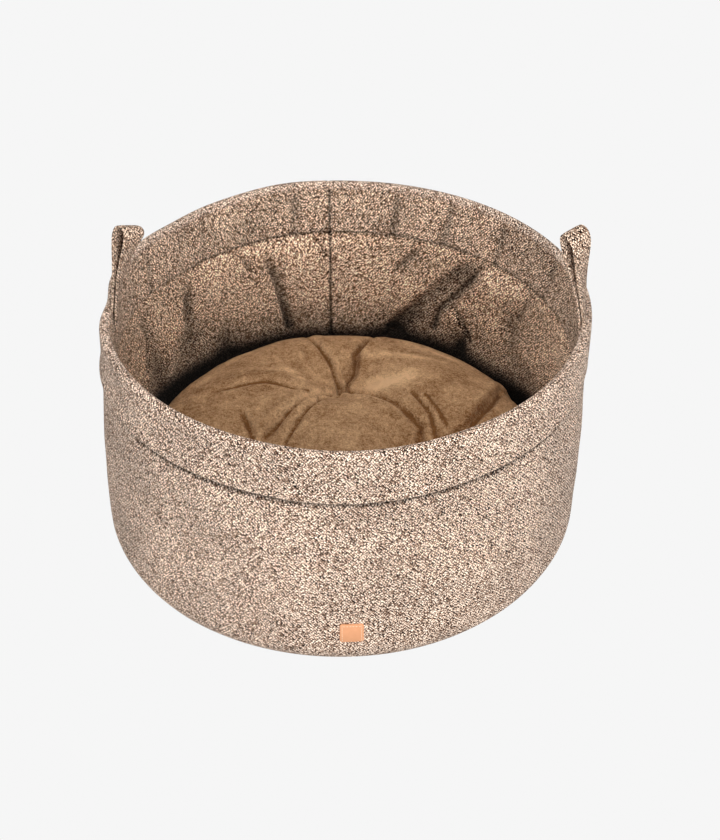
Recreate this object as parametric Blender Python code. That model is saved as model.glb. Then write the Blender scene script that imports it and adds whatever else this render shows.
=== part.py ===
"""A round, soft-sided pet bed basket with a tufted cushion and two loop handles.

Metres, +Z up. The origin is at the middle of the base, on the floor. The front, with the
leather tag, faces -Y. The handles stand at the left (-X) and the right (+X).
"""
import math

import bmesh
import bpy
from mathutils import Matrix, Vector

# Basket: the rim is the top edge of the wall.
RIM_HEIGHT = 0.268
RIM_RADIUS = 0.245
BELLY_RADIUS = 0.2485
BELLY_HEIGHT = 0.095
FOOT_DRAW = 0.0010
CORNER_RADIUS = 0.034
WALL_FOOT = 0.0012
OUTER_BAND_HEIGHT = 0.055
INNER_BAND_HEIGHT = 0.058
BAND_STEP = 0.0012
RIM_LIP = 0.005

# Layers of the wall, from the outside in.
SKIN = 0.0018
FOAM_AT_RIM = 0.0060
FOAM_AT_FOOT = 0.0125
FOAM_FOOT = 0.017
GAP = 0.0003

# Base: a cover on the floor, a stiff board and the lining that the cushion lies on.
COVER_RADIUS = 0.2150
COVER_THICKNESS = 0.0025
COVER_EDGE = 0.0012
BOARD_RADIUS = 0.2170
BOARD_THICKNESS = 0.0070
FLOOR_LINING_THICKNESS = 0.0016

# Cushion.
CUSHION_RADIUS = 0.2180
CUSHION_CREST = 0.124
CUSHION_SEAM_HEIGHT = 0.056
CUSHION_SKIN = 0.0020
CUSHION_FULLNESS = 2.8
TUFT_CIRCLE = 0.088
TUFT_DEPTH = 0.031
TUFT_SPREAD = 0.048
TUFT_TURN = {"back": math.radians(92.5), "left": math.radians(212.5), "right": math.radians(332.5)}
TIE_RADIUS = 0.0012
TIE_HOLE_RADIUS = 0.0019

# Handles: a strap folded into a loop, its root sewn into the seam below the rim's lip.
STRAP_WIDTH = 0.026
STRAP_THICKNESS = 0.0032
ROOT_DEPTH = 0.026
ROOT_NECK = 0.0035
HINGE_RISE = 0.0045
LOOP_CLEARANCE = 0.0006
LOOP_HEIGHT = 0.086
LOOP_BULGE = 0.0088
HANDLES = {
    "left": {"turn": math.radians(181.5), "twist": math.radians(-15), "lean": -0.03},
    "right": {"turn": math.radians(-7), "twist": math.radians(-8), "lean": -0.02},
}

# Tag.
TAG_SIZE = 0.0230
TAG_THICKNESS = 0.0016
TAG_HEIGHT = 0.0535
TAG_OFFSET = 0.0080
THREAD_WIDTH = 0.0010
THREAD_THICKNESS = 0.0006
THREAD_LENGTH = 0.0175
THREAD_INSET = 0.0022

SEGMENTS = 48
CUSHION_SEGMENTS = 36
LOOP_SECTIONS = 24
HALF_SEGMENT = math.pi / SEGMENTS

TWEED = (0.31, 0.235, 0.175, 1.0)
TWEED_SHADED = (0.24, 0.18, 0.135, 1.0)
FOAM = (0.80, 0.78, 0.70, 1.0)
BOARD = (0.55, 0.53, 0.50, 1.0)
VELOUR = (0.33, 0.215, 0.125, 1.0)
FIBRE = (0.86, 0.85, 0.82, 1.0)
LEATHER = (0.72, 0.36, 0.16, 1.0)
THREAD = (0.62, 0.33, 0.17, 1.0)
CORD = (0.35, 0.24, 0.15, 1.0)


# ---------------------------------------------------------------- helpers

def clear_scene():
    for item in list(bpy.data.objects):
        bpy.data.objects.remove(item, do_unlink=True)


def material(name, colour, roughness):
    made = bpy.data.materials.get(name)
    if made is None:
        made = bpy.data.materials.new(name)
        made.use_nodes = True
        surface = made.node_tree.nodes["Principled BSDF"]
        surface.inputs["Base Color"].default_value = colour
        surface.inputs["Roughness"].default_value = roughness
        surface.inputs["Metallic"].default_value = 0.0
    return made


def finish_mesh(name, mesh, colour, roughness=0.9, parent=None):
    """Turn a bmesh into a named object with outward faces and its own material."""
    bmesh.ops.recalc_face_normals(mesh, faces=mesh.faces)
    data = bpy.data.meshes.new(name)
    mesh.to_mesh(data)
    mesh.free()
    data.shade_smooth()
    data.set_sharp_from_angle(angle=math.radians(35))
    item = bpy.data.objects.new(name, data)
    bpy.context.scene.collection.objects.link(item)
    data.materials.append(material(name, colour, roughness))
    item.parent = parent
    return item


def turned(name, profile, colour, roughness=0.9):
    """Spin a closed (radius, height) outline about Z; one flat facet faces the front."""
    mesh = bmesh.new()
    points = [mesh.verts.new((radius, 0.0, height)) for radius, height in profile]
    for here, after in zip(points, points[1:] + points[:1]):
        mesh.edges.new((here, after))
    bmesh.ops.rotate(mesh, verts=mesh.verts, cent=(0, 0, 0), matrix=Matrix.Rotation(HALF_SEGMENT, 3, "Z"))
    bmesh.ops.spin(mesh, geom=mesh.verts[:] + mesh.edges[:], cent=(0, 0, 0), axis=(0, 0, 1),
                   angle=2 * math.pi, steps=SEGMENTS, use_merge=True)
    return finish_mesh(name, mesh, colour, roughness)


def disc(name, radius, low, high, colour, edge=0.0, roughness=0.9):
    """A round plate; edge is the width of its chamfer at the floor side."""
    mesh = bmesh.new()
    bmesh.ops.create_cone(mesh, cap_ends=True, segments=SEGMENTS, radius1=radius - edge, radius2=radius,
                          depth=high - low)
    turn = Matrix.Rotation(HALF_SEGMENT, 4, "Z")
    mesh.transform(Matrix.Translation((0, 0, (low + high) / 2)) @ turn)
    return finish_mesh(name, mesh, colour, roughness)


def box(name, size, place, colour, roughness=0.9):
    mesh = bmesh.new()
    bmesh.ops.create_cube(mesh, size=1.0)
    mesh.transform(place @ Matrix.Diagonal((*size, 1.0)))
    return finish_mesh(name, mesh, colour, roughness)


def layered(name, rings, colour, roughness=0.9):
    """Close a stack of rings of points; the first and the last ring are single points."""
    mesh = bmesh.new()
    first = mesh.verts.new(rings[0][0])
    last = mesh.verts.new(rings[-1][0])
    loops = [[mesh.verts.new(point) for point in ring] for ring in rings[1:-1]]
    count = len(loops[0])
    for index in range(count):
        after = (index + 1) % count
        mesh.faces.new((first, loops[0][index], loops[0][after]))
        mesh.faces.new((last, loops[-1][after], loops[-1][index]))
        for above, below in zip(loops, loops[1:]):
            corners = (above[index], below[index], below[after], above[after])
            widens = above[index].co.xy.length < below[index].co.xy.length
            shift = 0 if widens else 1
            for first_corner in (shift, shift + 2):
                mesh.faces.new([corners[(first_corner + step) % 4] for step in range(3)])
    return finish_mesh(name, mesh, colour, roughness)


def cutter(name, mesh):
    tool = finish_mesh(name, mesh, (1, 0, 0, 1))
    tool.hide_render = True
    tool.display_type = "WIRE"
    return tool


def cut(item, tool):
    change = item.modifiers.new(tool.name, "BOOLEAN")
    change.operation = "DIFFERENCE"
    change.solver = "EXACT"
    change.object = tool


# ---------------------------------------------------------------- wall and base

def wall_radius(height):
    """Outer radius of the wall: a rounded corner, a gentle belly and a slight taper to the rim."""
    top = RIM_RADIUS - BAND_STEP
    if height >= BELLY_HEIGHT:
        share = (height - BELLY_HEIGHT) / (RIM_HEIGHT - OUTER_BAND_HEIGHT - BELLY_HEIGHT)
        return BELLY_RADIUS + (top - BELLY_RADIUS) * min(share, 1.0) ** 1.6
    share = (BELLY_HEIGHT - height) / BELLY_HEIGHT
    body = BELLY_RADIUS - FOOT_DRAW * share ** 2
    drop = max(0.0, CORNER_RADIUS - height) / CORNER_RADIUS
    return body - CORNER_RADIUS * (1.0 - math.sqrt(max(0.0, 1.0 - drop ** 2)))


def foam_thickness(height):
    return FOAM_AT_FOOT + (FOAM_AT_RIM - FOAM_AT_FOOT) * height / RIM_HEIGHT


def inner_radius(height):
    """Radius of the lining's inner face."""
    outside = RIM_RADIUS - BAND_STEP if height > RIM_HEIGHT - INNER_BAND_HEIGHT else wall_radius(height)
    outside = max(outside, BELLY_RADIUS - 0.004) if height < CORNER_RADIUS else outside
    return outside - 2 * SKIN - 2 * GAP - foam_thickness(height)


FLOOR_TOP = COVER_THICKNESS + GAP + BOARD_THICKNESS + GAP + FLOOR_LINING_THICKNESS
BAND_SEAM = RIM_HEIGHT - OUTER_BAND_HEIGHT
LINING_SEAM = RIM_HEIGHT - INNER_BAND_HEIGHT
LIP_RADIUS = RIM_RADIUS - SKIN - GAP - FOAM_AT_RIM - GAP


def base():
    disc("base_cover", COVER_RADIUS, 0.0, COVER_THICKNESS, TWEED_SHADED, edge=COVER_EDGE)
    low = COVER_THICKNESS + GAP
    disc("base_board", BOARD_RADIUS, low, low + BOARD_THICKNESS, BOARD)
    low += BOARD_THICKNESS + GAP
    lining_foot = inner_radius(FLOOR_TOP)
    disc("floor_lining", lining_foot - GAP, low, FLOOR_TOP, TWEED_SHADED)


def wall():
    heights = [WALL_FOOT, 0.003, 0.008, FOAM_FOOT, CORNER_RADIUS, 0.060, BELLY_HEIGHT, 0.145]
    heights.append(BAND_SEAM - GAP)
    outside = [(wall_radius(height), height) for height in heights]
    inside = [(wall_radius(height) - SKIN, height) for height in heights if height > WALL_FOOT]
    inner_foot = [(wall_radius(WALL_FOOT) - SKIN, WALL_FOOT)]
    turned("outer_wall", outside + inside[::-1] + inner_foot, TWEED)

    low_side = [FOAM_FOOT, CORNER_RADIUS, 0.060, BELLY_HEIGHT, 0.145, BAND_SEAM - GAP]
    foam_outside = [(wall_radius(height) - SKIN - GAP, height) for height in low_side]
    foam_outside.append((RIM_RADIUS - SKIN - GAP, BAND_SEAM + 0.004))
    foam_outside.append((RIM_RADIUS - SKIN - GAP, RIM_HEIGHT - SKIN - GAP))
    lining_rows = [FOAM_FOOT, 0.060, BELLY_HEIGHT, 0.145, LINING_SEAM - GAP]
    foam_inside = [(inner_radius(height) + SKIN + GAP, height) for height in lining_rows[::-1]]
    foam_inside.insert(0, (LIP_RADIUS + GAP, RIM_HEIGHT - SKIN - GAP))
    foam = turned("wall_foam", foam_outside + foam_inside, FOAM)

    lining_rows.insert(0, FLOOR_TOP + GAP)
    lining_outside = [(inner_radius(height) + SKIN, height) for height in lining_rows]
    lining_inside = [(inner_radius(height), height) for height in lining_rows]
    turned("lining_wall", lining_outside + lining_inside[::-1], TWEED_SHADED)
    return foam


def rim():
    """The cuff: its outer band folds over the top and ends in a short lip on the inside."""
    top = RIM_HEIGHT
    outer = turned("outer_band", [
        (RIM_RADIUS, BAND_SEAM),
        (RIM_RADIUS + 0.0004, BAND_SEAM + OUTER_BAND_HEIGHT / 2),
        (RIM_RADIUS, top - 0.0020),
        (RIM_RADIUS - 0.0020, top),
        (LIP_RADIUS - 0.0002, top),
        (LIP_RADIUS - SKIN, top - 0.0016),
        (LIP_RADIUS - SKIN, top - RIM_LIP),
        (LIP_RADIUS, top - RIM_LIP),
        (LIP_RADIUS, top - SKIN),
        (RIM_RADIUS - SKIN, top - SKIN),
        (RIM_RADIUS - SKIN, BAND_SEAM + 0.003),
        (RIM_RADIUS - SKIN, BAND_SEAM),
    ], TWEED)
    low = inner_radius(LINING_SEAM + GAP)
    inner = turned("inner_band", [
        (LIP_RADIUS, top - RIM_LIP - GAP),
        (LIP_RADIUS - SKIN, top - RIM_LIP - GAP),
        (low - BAND_STEP, LINING_SEAM),
        (low + SKIN - BAND_STEP, LINING_SEAM),
    ], TWEED_SHADED)
    return outer, inner


# ---------------------------------------------------------------- handles

def handle_frame(turn, height):
    """Axes at a point of the rim seam: x along the strap's width, y outward, z up."""
    outward = Vector((math.cos(turn), math.sin(turn), 0.0))
    up = Vector((0.0, 0.0, 1.0))
    along = outward.cross(up)
    frame = Matrix((along, outward, up)).transposed().to_4x4()
    return Matrix.Translation(outward * (LIP_RADIUS - SKIN / 2) + up * height) @ frame


def handle_root(side, turn, foam, bands):
    """The sewn-in end: flat in the foam behind the inner band, then through the seam."""
    place = handle_frame(turn, RIM_HEIGHT)
    half = STRAP_WIDTH / 2
    neck = ROOT_NECK / 2
    shelf = RIM_LIP + 0.0040
    back = SKIN / 2 + 4 * GAP
    outline = [(-neck, -0.0004), (neck, -0.0004), (neck, -shelf), (back + ROOT_NECK, -shelf - 0.0030),
               (back + ROOT_NECK, -ROOT_DEPTH), (back, -ROOT_DEPTH), (back, -shelf - 0.0038),
               (-neck, -shelf + 0.0020)]
    strap_end = bmesh.new()
    ends = []
    for along in (-half, half):
        ends.append([strap_end.verts.new((along, across, height)) for across, height in outline])
    strap_end.faces.new(ends[0])
    strap_end.faces.new(ends[1][::-1])
    for index in range(len(outline)):
        after = (index + 1) % len(outline)
        strap_end.faces.new((ends[0][index], ends[0][after], ends[1][after], ends[1][index]))
    strap_end.transform(place)
    finish_mesh(side + "_handle_tab", strap_end, TWEED)

    pocket = bmesh.new()
    bmesh.ops.create_cube(pocket, size=1.0)
    deep = back + ROOT_NECK + 3 * GAP
    size = (STRAP_WIDTH + 4 * GAP, 0.006 + deep, ROOT_DEPTH + 0.006)
    pocket.transform(place @ Matrix.Translation((0, deep - size[1] / 2, 0.004 - size[2] / 2))
                     @ Matrix.Diagonal((*size, 1.0)))
    cut(foam, cutter(side + "_foam_pocket", pocket))

    mouth = bmesh.new()
    bmesh.ops.create_cube(mouth, size=1.0)
    size = (STRAP_WIDTH + 4 * GAP, 0.012, shelf + 0.0042)
    mouth.transform(place @ Matrix.Translation((0, neck + 2 * GAP - size[1] / 2, -size[2] / 2 + 0.001))
                    @ Matrix.Diagonal((*size, 1.0)))
    opening = cutter(side + "_seam_mouth", mouth)
    for band in bands:
        cut(band, opening)


def handle_loop(side, turn, twist, lean):
    """The loop turns about its root: its parent empty lies on the hinge line."""
    hinge = bpy.data.objects.new(side + "_handle_hinge", None)
    bpy.context.scene.collection.objects.link(hinge)
    hinge.matrix_world = handle_frame(turn, RIM_HEIGHT + HINGE_RISE)

    closed = STRAP_THICKNESS / 2 + 0.0003
    spread = LOOP_BULGE / 0.385
    path = []
    for step in range(LOOP_SECTIONS + 1):
        angle = math.pi * step / LOOP_SECTIONS
        side_shift = math.cos(angle) * (closed + spread * math.sin(angle) ** 2)
        path.append((side_shift, LOOP_CLEARANCE + LOOP_HEIGHT * math.sin(angle) ** 0.9))

    mesh = bmesh.new()
    rings = []
    for index, (across, rise) in enumerate(path):
        before = path[max(index - 1, 0)]
        after = path[min(index + 1, LOOP_SECTIONS)]
        run = Vector((0.0, after[0] - before[0], after[1] - before[1])).normalized()
        if index in (0, LOOP_SECTIONS):
            run = Vector((0.0, 0.0, 1.0 if index == 0 else -1.0))
        normal = Vector((1.0, 0.0, 0.0)).cross(run)
        share = rise / LOOP_HEIGHT
        turn_here = Matrix.Rotation(twist * share * share * (3.0 - 2.0 * min(share, 1.0)), 3, "Z")
        corners = []
        for along, off in ((-1, -1), (1, -1), (1, 1), (-1, 1)):
            point = Vector((along * STRAP_WIDTH / 2, across, rise)) + normal * (off * STRAP_THICKNESS / 2)
            point = turn_here @ point
            point.y += lean * rise
            corners.append(mesh.verts.new(point))
        rings.append(corners)
    mesh.faces.new(rings[0])
    mesh.faces.new(rings[-1][::-1])
    for here, after in zip(rings, rings[1:]):
        for index in range(4):
            beside = (index + 1) % 4
            mesh.faces.new((here[index], here[beside], after[beside], after[index]))
    finish_mesh(side + "_handle_loop", mesh, TWEED, parent=hinge)


# ---------------------------------------------------------------- tag

def tag():
    facet = max(wall_radius(TAG_HEIGHT - TAG_SIZE / 2), wall_radius(TAG_HEIGHT + TAG_SIZE / 2))
    depth = -facet * math.cos(HALF_SEGMENT) - GAP - TAG_THICKNESS / 2
    place = Matrix.Translation((TAG_OFFSET, depth, TAG_HEIGHT))
    box("leather_tag", (TAG_SIZE, TAG_THICKNESS, TAG_SIZE), place, LEATHER, roughness=0.55)
    for side, sign in (("left", -1), ("right", 1)):
        rise = TAG_THICKNESS / 2 + GAP / 2 + THREAD_THICKNESS / 2
        shift = (sign * (TAG_SIZE / 2 - THREAD_INSET), -rise, 0.0)
        box("tag_thread_" + side, (THREAD_WIDTH, THREAD_THICKNESS, THREAD_LENGTH),
            place @ Matrix.Translation(shift), THREAD)


# ---------------------------------------------------------------- cushion

def tuft_points():
    return {name: Vector((TUFT_CIRCLE * math.cos(turn), TUFT_CIRCLE * math.sin(turn)))
            for name, turn in TUFT_TURN.items()}


def cushion_surface(share, turn, upper, inset):
    """A point of the cushion, inset below its skin; share runs from 0 at the middle to 1 at the seam."""
    radius = (CUSHION_RADIUS - inset) * share
    place = Vector((radius * math.cos(turn), radius * math.sin(turn)))
    fall = (1.0 - share ** CUSHION_FULLNESS) ** 0.5
    if not upper:
        foot = FLOOR_TOP + GAP + inset
        fall_low = (1.0 - share ** (2 * CUSHION_FULLNESS)) ** 0.5
        return Vector((*place, CUSHION_SEAM_HEIGHT - GAP - (CUSHION_SEAM_HEIGHT - GAP - foot) * fall_low))
    crest = CUSHION_CREST - inset
    height = CUSHION_SEAM_HEIGHT + (crest - CUSHION_SEAM_HEIGHT) * fall
    for tuft in tuft_points().values():
        height -= TUFT_DEPTH * fall * math.exp(-((place - tuft).length / TUFT_SPREAD) ** 2)
    return Vector((*place, height))


def cushion_rings(shares, upper, inset):
    turns = [2 * math.pi * step / CUSHION_SEGMENTS for step in range(CUSHION_SEGMENTS)]
    return [[cushion_surface(share, turn, upper, inset) for turn in turns] for share in shares]


def cushion():
    upper_shares = [0.0, 0.14, 0.28, 0.42, 0.56, 0.70, 0.82, 0.91, 0.97, 1.0]
    lower_shares = [0.0, 0.42, 0.75, 0.90, 0.97, 1.0]

    upper_faces = cushion_rings(upper_shares, True, 0.0)
    upper_backs = cushion_rings(upper_shares, True, CUSHION_SKIN)
    top_panel = layered("cushion_top_panel", upper_faces + upper_backs[::-1], VELOUR)
    lower_faces = cushion_rings(lower_shares, False, 0.0)
    lower_backs = cushion_rings(lower_shares, False, CUSHION_SKIN)
    bottom_panel = layered("cushion_bottom_panel", lower_backs + lower_faces[::-1], VELOUR)
    depth = CUSHION_SKIN + 2 * GAP
    filling_top = cushion_rings(upper_shares[:-2], True, depth)
    filling_foot = cushion_rings(lower_shares[:-2], False, depth)
    filling = layered("cushion_filling", filling_top + filling_foot[::-1], FIBRE)

    for name, tuft in tuft_points().items():
        share = TUFT_CIRCLE / CUSHION_RADIUS
        top_height = cushion_surface(share, TUFT_TURN[name], True, 0.0).z + 0.001
        low_height = FLOOR_TOP + 5 * GAP
        middle = Matrix.Translation((*tuft, (top_height + low_height) / 2))
        hole = bmesh.new()
        bmesh.ops.create_cone(hole, cap_ends=True, segments=10, radius1=TIE_HOLE_RADIUS,
                              radius2=TIE_HOLE_RADIUS, depth=0.16)
        hole.transform(middle)
        tool = cutter("tuft_hole_" + name, hole)
        for piece in (top_panel, bottom_panel, filling):
            cut(piece, tool)
        tie = bmesh.new()
        bmesh.ops.create_cone(tie, cap_ends=True, segments=10, radius1=TIE_RADIUS, radius2=TIE_RADIUS,
                              depth=top_height - low_height)
        tie.transform(middle)
        finish_mesh("tuft_tie_" + name, tie, CORD)


# ---------------------------------------------------------------- build

clear_scene()
base()
wall_foam = wall()
rim_bands = rim()
for handle_side, shape in HANDLES.items():
    handle_root(handle_side, shape["turn"], wall_foam, rim_bands)
    handle_loop(handle_side, **shape)
tag()
cushion()
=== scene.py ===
"""A round tweed pet bed: a soft padded wall with a folded cuff, two strap loops, a leather tag
and a tufted velour cushion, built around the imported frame."""

import math
from contextlib import contextmanager

import bpy
import numpy as np
from bpy.props import FloatProperty, FloatVectorProperty, IntProperty, PointerProperty
from bpy.types import Operator, Panel, PropertyGroup
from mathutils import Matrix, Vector


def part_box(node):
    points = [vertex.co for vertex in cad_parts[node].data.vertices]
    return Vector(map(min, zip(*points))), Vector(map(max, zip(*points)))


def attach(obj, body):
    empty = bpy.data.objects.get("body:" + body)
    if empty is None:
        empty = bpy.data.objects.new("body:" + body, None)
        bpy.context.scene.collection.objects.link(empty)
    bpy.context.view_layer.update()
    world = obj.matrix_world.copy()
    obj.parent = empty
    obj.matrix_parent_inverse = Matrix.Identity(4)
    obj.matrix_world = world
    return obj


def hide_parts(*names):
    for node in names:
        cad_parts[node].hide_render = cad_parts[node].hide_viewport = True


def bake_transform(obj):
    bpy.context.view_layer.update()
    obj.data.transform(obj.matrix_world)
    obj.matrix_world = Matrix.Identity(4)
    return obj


bl_info = {
    "name": "Tweed pet bed",
    "version": (1, 0, 0),
    "blender": (4, 5, 0),
    "location": "View3D > Sidebar > Pet bed",
    "description": "Builds a round tweed pet bed with a tufted cushion, piece by piece",
    "category": "Add Mesh",
}

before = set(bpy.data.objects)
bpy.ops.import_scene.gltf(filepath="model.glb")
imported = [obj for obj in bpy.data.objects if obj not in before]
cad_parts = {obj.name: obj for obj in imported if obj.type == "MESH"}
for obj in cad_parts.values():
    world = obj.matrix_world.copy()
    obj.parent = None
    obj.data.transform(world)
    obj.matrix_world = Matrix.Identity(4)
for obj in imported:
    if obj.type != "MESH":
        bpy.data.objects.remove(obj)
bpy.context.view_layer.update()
rim_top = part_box("outer_band")[1].z
cuff_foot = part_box("outer_band")[0].z
lining_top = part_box("inner_band")[0].z
floor_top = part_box("floor_lining")[1].z
cushion_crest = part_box("cushion_top_panel")[1].z
tag_low, tag_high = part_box("leather_tag")

FULL_TURN = 2 * math.pi
BACK_SEAM = math.radians(93.7)
GAP = 0.0003
EDGE_ANGLE = math.radians(50)
CAD_FACET = math.pi / 48
LUMP_ROWS = 64
RIM_STITCHES = 212
SWELL_FRAMES = 20
COVER_CLOTH = 0.0016
FOAM_BEHIND_WALL = 0.0045
FOAM_BEHIND_CUFF = 0.0014
YARN_ANGLES = (43.0, -41.0)
YARN_FLOAT = (0.00245, 0.00150)
YARN_GRAIN = 0.0014
TUFT_TURNS = (("back", 92.5), ("left", 212.5), ("right", 332.5))
LAMPS = (("front light", "key", (0.92, -2.42, 0.78), 1.8),
         ("left light", "fill", (-2.4, -1.0, 1.2), 1.8),
         ("top light", "top", (0.4, -0.5, 2.6), 1.6))
LAMP_AIM = Vector((0.0, 0.0, 0.15))
CAMERA_PLACE = (0.008, -1.365, 1.170)
CAMERA_TURN = (math.radians(52.41), 0.0, math.radians(-0.40))
CAMERA_LENS = 70.03
CAMERA_SENSOR = 36.0
RIM_PUFF = 0.0020


# ---------------------------------------------------------------- sizes and colours

def length(name, default, description):
    return FloatProperty(name=name, description=description, default=default, min=0.0,
                         unit="LENGTH", precision=4)


def colour(name, default, description):
    return FloatVectorProperty(name=name, description=description, default=default, size=3,
                               subtype="COLOR", min=0.0, max=1.0)


def plain(name, default, description, low=0.0, high=100.0):
    return FloatProperty(name=name, description=description, default=default, min=low, max=high)


class BasketSizes(PropertyGroup):
    rim_height: length("Rim height", rim_top, "Height of the rim above the floor")
    rim_radius: length("Rim radius", 0.2450, "Outer radius of the cuff")
    belly_radius: length("Belly radius", 0.2485, "Largest radius of the wall")
    belly_height: length("Belly height", 0.095, "Height of the widest place")
    foot_draw: length("Foot draw", 0.0010, "How far the wall draws in towards its foot")
    corner_radius: length("Corner radius", 0.034, "Rounding between wall and base")
    cuff_foot: length("Cuff foot", cuff_foot, "Height of the lower edge of the outer cuff")
    band_foot: length("Inner band foot", lining_top, "Height of the lower edge of the inner band")
    skin: length("Cloth thickness", 0.0018, "Thickness of the tweed")
    foam_rim: length("Foam at the rim", 0.0060, "Thickness of the padding at the rim")
    foam_foot: length("Foam at the foot", 0.0125, "Thickness of the padding at the foot")
    band_step: length("Band step", 0.0012, "How far the cuff stands proud of the wall")
    sway: length("Sway", 0.0013, "How far the soft wall wanders from a true circle")
    columns: IntProperty(name="Columns", description="Faces around the wall", default=440, min=48)


class CushionSizes(PropertyGroup):
    radius: length("Radius", 0.218, "Radius at the seam")
    seam_height: length("Seam height", 0.056, "Height of the edge seam")
    crest: length("Crest", cushion_crest, "Height of the fullest part")
    fullness: plain("Fullness", 3.3, "How squarely the top rounds over to the seam")
    tuft_circle: length("Tuft circle", 0.088, "Distance of the tufts from the middle")
    tuft_depth: length("Tuft depth", 0.031, "How deep the tufts are pulled in")
    tuft_spread: length("Tuft spread", 0.046, "How wide the pull of a tuft reaches")
    voxel: length("Voxel", 0.0042, "Grain of the mesh that the cloth simulation uses")
    pressure: plain("Pressure", 4.0, "Pressure of the filling in the simulation")
    cap: length("Swelling limit", 0.012, "How far the simulation may move a point")


class StrapSizes(PropertyGroup):
    width: length("Strap width", 0.026, "Width of the carrying straps")
    thickness: length("Strap thickness", 0.0034, "Thickness of a folded strap")
    rise: length("Loop rise", 0.0935, "Height of a loop above the rim seam")
    bulge: length("Loop bulge", 0.0066, "Half opening of a loop")
    root: length("Root depth", 0.022, "How far a strap goes down behind the inner band")


class TagSizes(PropertyGroup):
    side: length("Tag side", tag_high.x - tag_low.x, "Side of the square leather tag")
    thickness: length("Tag thickness", 0.0016, "Thickness of the leather")
    height: length("Tag height", (tag_low.z + tag_high.z) / 2, "Height of the middle of the tag")
    offset: length("Tag offset", (tag_low.x + tag_high.x) / 2, "Place of the tag along the front")


class ClothColours(PropertyGroup):
    deep: colour("Darkest yarn", (0.030, 0.014, 0.009), "Near-black brown yarn")
    brown: colour("Brown yarn", (0.210, 0.118, 0.076), "Middle brown yarn")
    tan: colour("Tan yarn", (0.500, 0.365, 0.275), "Tan yarn")
    cream: colour("Cream yarn", (0.960, 0.790, 0.650), "Palest yarn")
    velour: colour("Velour", (0.190, 0.079, 0.023), "Cushion pile lying away")
    velour_light: colour("Brushed velour", (0.790, 0.500, 0.272), "Cushion pile brushed up")
    leather: colour("Leather", (0.590, 0.268, 0.126), "Tag leather")
    thread: colour("Thread", (0.860, 0.620, 0.420), "Stitching of the tag")
    foam: colour("Foam", (0.780, 0.750, 0.640), "Wall padding")
    board: colour("Board", (0.500, 0.450, 0.380), "Stiffener in the base")
    fibre: colour("Fibre", (0.850, 0.840, 0.800), "Cushion filling")


class StudioLight(PropertyGroup):
    surround: plain("Surround", 0.921, "Brightness of the plain pale surround", 0.0, 4.0)
    ambient: plain("Ambient", 0.34, "Strength of the even light from all round", 0.0, 4.0)
    key: plain("Front light", 70.0, "Strength of the soft light from the front right", 0.0, 400.0)
    fill: plain("Left light", 35.0, "Strength of the soft light from the left", 0.0, 400.0)
    top: plain("Top light", 34.0, "Strength of the soft light from above", 0.0, 400.0)


def basket():
    return bpy.context.scene.pet_bed_basket


def pillow():
    return bpy.context.scene.pet_bed_cushion


def strap_sizes():
    return bpy.context.scene.pet_bed_strap


def tag_sizes():
    return bpy.context.scene.pet_bed_tag


def dyes():
    return bpy.context.scene.pet_bed_colours


# ---------------------------------------------------------------- materials

class Shade:
    """One socket of a finish being mixed. Sums and products on it add Math nodes."""

    def __init__(self, finish, socket):
        self.finish = finish
        self.socket = socket

    def combine(self, operation, first, second):
        return self.finish.add("ShaderNodeMath", {"operation": operation}, {0: first, 1: second})

    def __add__(self, other):
        return self.combine("ADD", self, other)

    __radd__ = __add__

    def __mul__(self, other):
        return self.combine("MULTIPLY", self, other)

    __rmul__ = __mul__

    def __sub__(self, other):
        return self.combine("SUBTRACT", self, other)

    def __rsub__(self, other):
        return self.combine("SUBTRACT", other, self)

    def __gt__(self, other):
        return self.combine("GREATER_THAN", self, other)

    def output(self, name):
        return Shade(self.finish, self.socket.node.outputs[name])


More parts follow.
